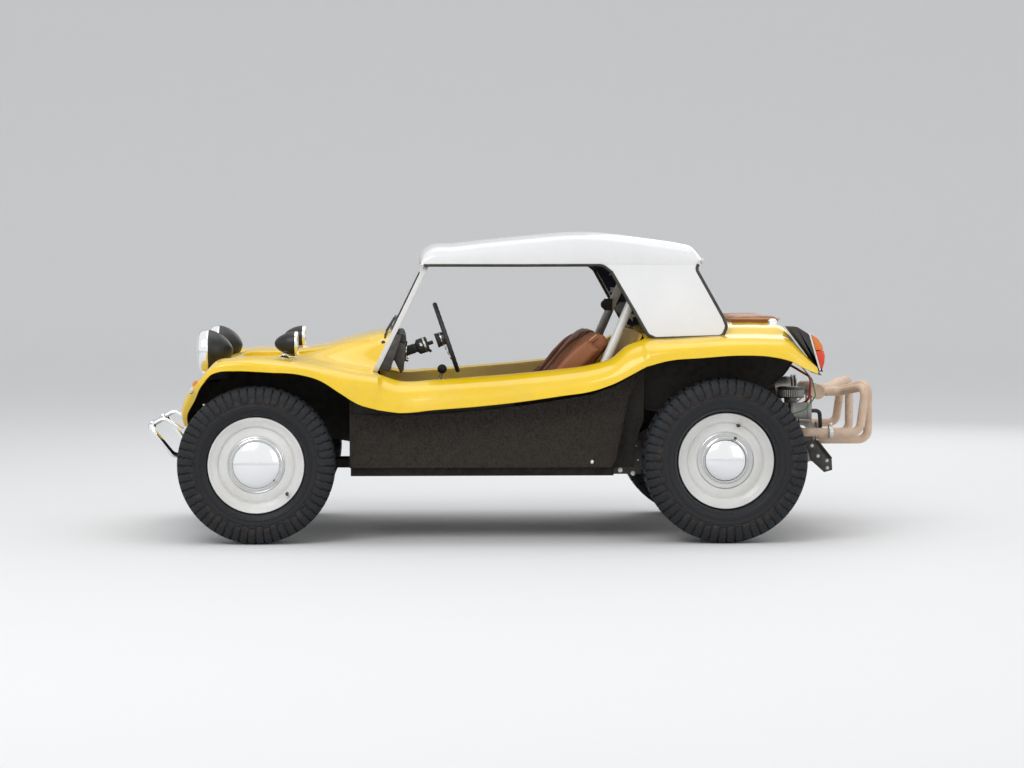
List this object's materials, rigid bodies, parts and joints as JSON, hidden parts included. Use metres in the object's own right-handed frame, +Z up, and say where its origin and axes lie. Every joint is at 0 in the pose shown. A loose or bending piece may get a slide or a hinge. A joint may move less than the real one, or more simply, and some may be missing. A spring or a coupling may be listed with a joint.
{
  "type": "dune buggy with hardtop",
  "caption": "Open glass-fibre dune buggy with a white hardtop, exposed rear engine, header exhaust, lugged tyres and working steering.",
  "frame": {"origin": "on the ground, under the middle of the length and width", "axes": "+X to the rear of the car, +Y to its right-hand side, +Z up"},
  "size_m": [3.24, 1.62, 1.3518],
  "materials": {
    "yellow_paint": "gloss glass-fibre gel coat",
    "black_inner": "matt black inner panels",
    "white_top": "white hardtop",
    "white_paint": "white frame paint",
    "rim_paint": "cream white rims",
    "tyre": "black tyre rubber",
    "chrome": "polished chrome",
    "glass": "clear glass",
    "lamp_glass": "ribbed headlight glass",
    "amber": "amber lamp lens",
    "red_lens": "red and amber lamp lens",
    "black_gloss": "black shells",
    "black_plastic": "black plastic and rubber trim",
    "black_steel": "black chassis paint",
    "leather": "tan leather",
    "cast_grey": "cast alloy",
    "exhaust_tan": "heat-tinted header paint",
    "steel": "bare steel"
  },
  "bodies": {
    "chassis": {"floor_pan": "black_steel", "body_front": "yellow_paint", "body_sides": "yellow_paint", "body_rear": "yellow_paint", "inner_panels": "black_inner", "rear_bulkhead": "yellow_paint", "side_panels": "black_inner", "hood": "yellow_paint", "windscreen_frame": "white_paint", "windscreen_glass": "glass", "wipers": "black_plastic", "hardtop": "white_top", "rear_window": "glass", "dashboard": "black_plastic", "steering_column": "black_steel", "floor_levers": "chrome", "seats": "leather", "deck_pad": "leather", "roll_hoop": "white_paint", "headlight_shells": "black_gloss", "headlight_lenses": "lamp_glass", "front_indicators": "amber", "rear_lamp_housings": "black_plastic", "rear_lamp_lenses": "red_lens", "mirrors": "black_gloss", "front_bumper": "chrome", "plate_panel": "black_plastic", "front_axle_beam": "black_steel", "trailing_arms": "black_steel", "engine": "cast_grey", "fan_shroud": "black_steel", "exhaust_header": "exhaust_tan", "silencer": "steel", "gearbox": "cast_grey", "rear_suspension": "black_steel", "shock_absorbers": "black_steel"},
    "knuckle_left": {"knuckle_left": "black_steel"},
    "knuckle_right": {"knuckle_right": "black_steel"},
    "steering_linkage": {"steering_linkage": "steel"},
    "steering_wheel": {"steering_wheel": "black_plastic"},
    "wheel_front_left": {"tyre_front_left": "tyre", "rim_front_left": "rim_paint", "hub_cap_front_left": "chrome"},
    "wheel_front_right": {"tyre_front_right": "tyre", "rim_front_right": "rim_paint", "hub_cap_front_right": "chrome"},
    "wheel_rear_left": {"tyre_rear_left": "tyre", "rim_rear_left": "rim_paint", "hub_cap_rear_left": "chrome"},
    "wheel_rear_right": {"tyre_rear_right": "tyre", "rim_rear_right": "rim_paint", "hub_cap_rear_right": "chrome"}
  },
  "joints": [
    {"name": "steer_left", "type": "hinge", "parent": "chassis", "child": "knuckle_left", "pos_m": [-1.1255, -0.575, 0.342], "axis": [0, 0, 1], "range_deg": [-27, 27]},
    {"name": "steer_right", "type": "hinge", "parent": "chassis", "child": "knuckle_right", "pos_m": [-1.1255, 0.575, 0.342], "axis": [0, 0, 1], "range_deg": [-27, 27]},
    {"name": "track_rod_slide", "type": "slide", "parent": "chassis", "child": "steering_linkage", "axis": [0, 1, 0], "range_m": [-0.0375, 0.0375]},
    {"name": "steering_wheel_turn", "type": "hinge", "parent": "chassis", "child": "steering_wheel", "pos_m": [-0.299, -0.36, 0.882], "axis": [0.9455, 0, 0.3256], "range_deg": [-380, 380]},
    {"name": "roll_front_left", "type": "hinge", "parent": "knuckle_left", "child": "wheel_front_left", "pos_m": [-1.1255, -0.6775, 0.342], "axis": [0, 1, 0], "continuous": true},
    {"name": "roll_front_right", "type": "hinge", "parent": "knuckle_right", "child": "wheel_front_right", "pos_m": [-1.1255, 0.6775, 0.342], "axis": [0, 1, 0], "continuous": true},
    {"name": "roll_rear_left", "type": "hinge", "parent": "chassis", "child": "wheel_rear_left", "pos_m": [0.9065, -0.69, 0.357], "axis": [0, 1, 0], "continuous": true},
    {"name": "roll_rear_right", "type": "hinge", "parent": "chassis", "child": "wheel_rear_right", "pos_m": [0.9065, 0.69, 0.357], "axis": [0, 1, 0], "continuous": true}
  ],
  "couplings": [
    {"joint": "steer_right", "follows": "steer_left", "ratio": 1},
    {"joint": "track_rod_slide", "follows": "steer_left", "m_per_rad": -0.0785},
    {"joint": "steering_wheel_turn", "follows": "steer_left", "ratio": 14}
  ]
}
